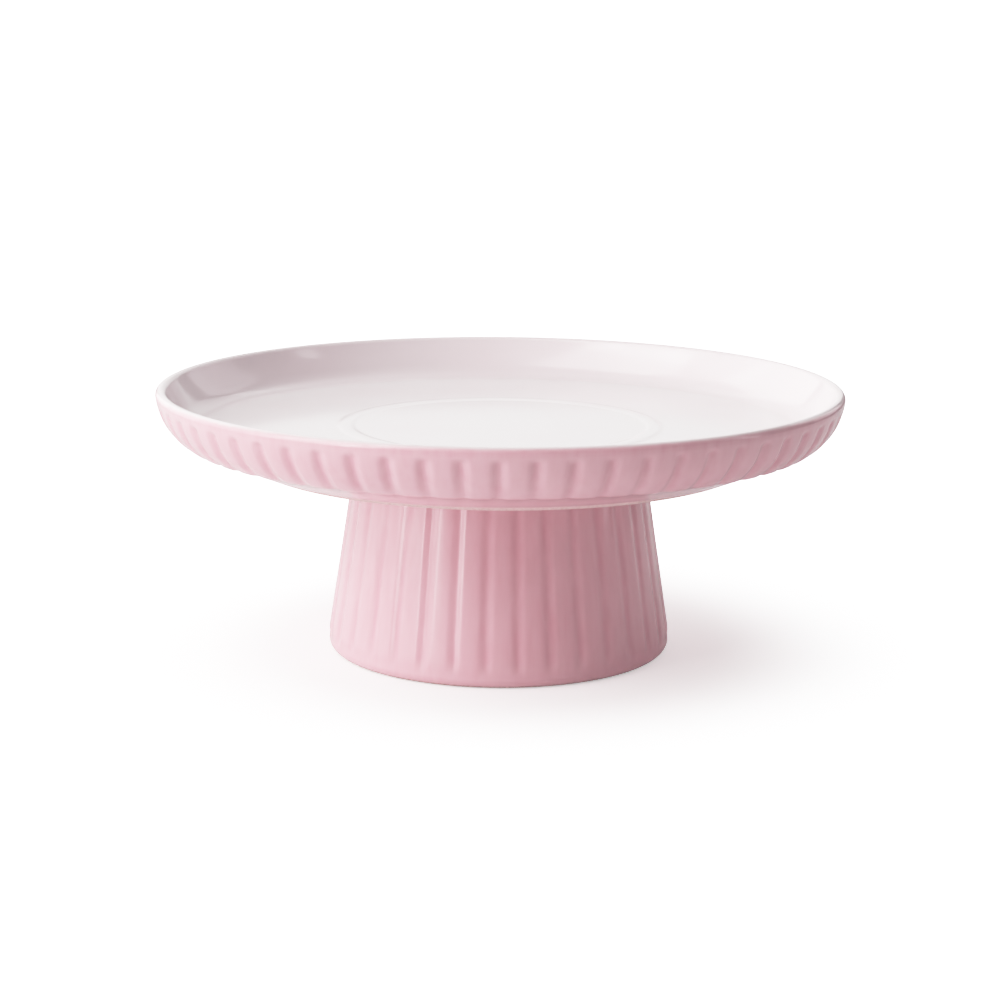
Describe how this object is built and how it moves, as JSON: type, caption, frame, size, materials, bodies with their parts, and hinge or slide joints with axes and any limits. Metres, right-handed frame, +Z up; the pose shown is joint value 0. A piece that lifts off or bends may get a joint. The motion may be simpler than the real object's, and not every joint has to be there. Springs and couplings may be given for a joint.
{
  "type": "cake stand",
  "caption": "Low glazed stoneware cake stand: a round fluted plate with a raised rim lifts off a hollow, tapered, fluted pedestal.",
  "frame": {"origin": "centre of the pedestal's foot, on the table", "axes": "+Z up along the axis of the plate and pedestal; -Y is the front; the stand is round, so X and Y are alike"},
  "size_m": [0.3, 0.3, 0.117],
  "materials": {
    "plate_glaze": "glossy pink glaze outside, glossy white glaze on top, bare clay foot ring",
    "pedestal_glaze": "glossy pink glaze, bare clay foot",
    "silicone": "matt translucent white silicone"
  },
  "bodies": {
    "pedestal": {"pedestal": "pedestal_glaze"},
    "seat": {"seat_ring": "silicone"},
    "plate": {"cake_plate": "plate_glaze"}
  },
  "joints": [
    {"name": "plate_turn", "type": "hinge", "parent": "pedestal", "child": "seat", "pos_m": [0, 0, 0.0892], "axis": [0, 0, 1], "continuous": true},
    {"name": "plate_lift", "type": "slide", "parent": "seat", "child": "plate", "axis": [0, 0, 1], "range_m": [0, 0.1]}
  ]
}
